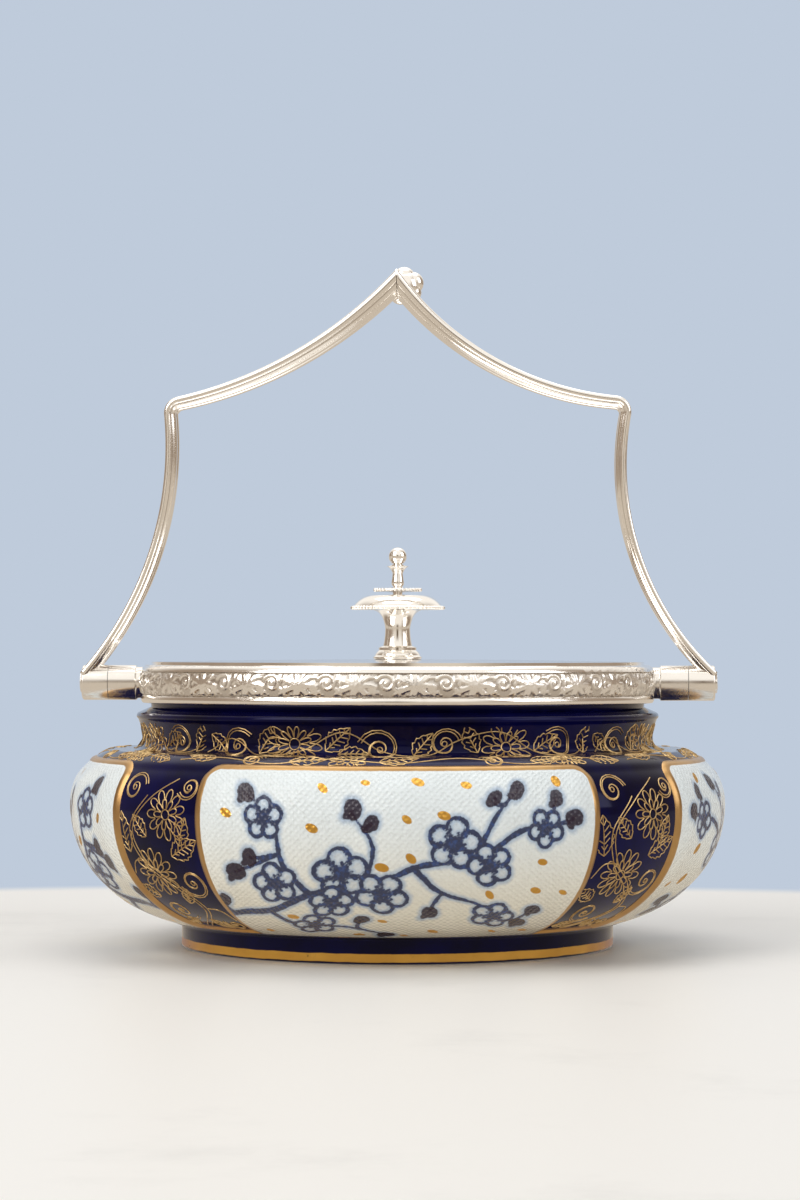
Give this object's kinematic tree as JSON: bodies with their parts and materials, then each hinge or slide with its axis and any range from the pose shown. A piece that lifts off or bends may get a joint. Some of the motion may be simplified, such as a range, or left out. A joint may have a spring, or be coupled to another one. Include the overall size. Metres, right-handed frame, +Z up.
{
  "type": "biscuit jar",
  "caption": "Squat round glazed pottery jar with plated collar, lift-off lid with turned finial, and a reeded bail handle that swings on side screws.",
  "frame": {"origin": "centre of the foot ring on the surface the jar stands on", "axes": "+Z up the jar's axis, +X through the handle's right pivot, -Y the front panel"},
  "size_m": [0.1766, 0.1766, 0.1859],
  "materials": {
    "pottery": "glossy cobalt glaze with pale embossed panels and gilt lines",
    "plaster": "matt cast plaster",
    "silver_plate": "polished silver plate, lightly worn",
    "plain_metal": "plain turned metal"
  },
  "bodies": {
    "root": {"bowl": "pottery", "plaster_bed": "plaster", "collar_bottom_bead": "silver_plate", "collar_band": "silver_plate", "collar_liner": "silver_plate", "collar_top_moulding": "silver_plate", "left_hinge_lug": "silver_plate", "right_hinge_lug": "silver_plate", "left_pivot_screw": "silver_plate", "right_pivot_screw": "silver_plate"},
    "handle": {"handle_left_half": "silver_plate", "handle_right_half": "silver_plate", "handle_rosette": "silver_plate", "left_handle_barrel": "silver_plate", "right_handle_barrel": "silver_plate"},
    "lid": {"lid_plate": "silver_plate", "lid_bezel": "silver_plate", "finial_base": "silver_plate", "finial_stem": "silver_plate", "finial_saucer": "silver_plate", "finial_rope_disc": "silver_plate", "finial_vase": "silver_plate", "finial_ball": "silver_plate", "finial_stud": "plain_metal", "finial_washer": "plain_metal", "finial_nut": "plain_metal"}
  },
  "joints": [
    {"name": "handle_swing", "type": "hinge", "parent": "root", "child": "handle", "pos_m": [0, 0, 0.0713], "axis": [1, 0, 0], "range_deg": [-100, 100]},
    {"name": "lid_lift", "type": "slide", "parent": "root", "child": "lid", "axis": [0, 0, 1], "range_m": [0, 0.014]}
  ]
}
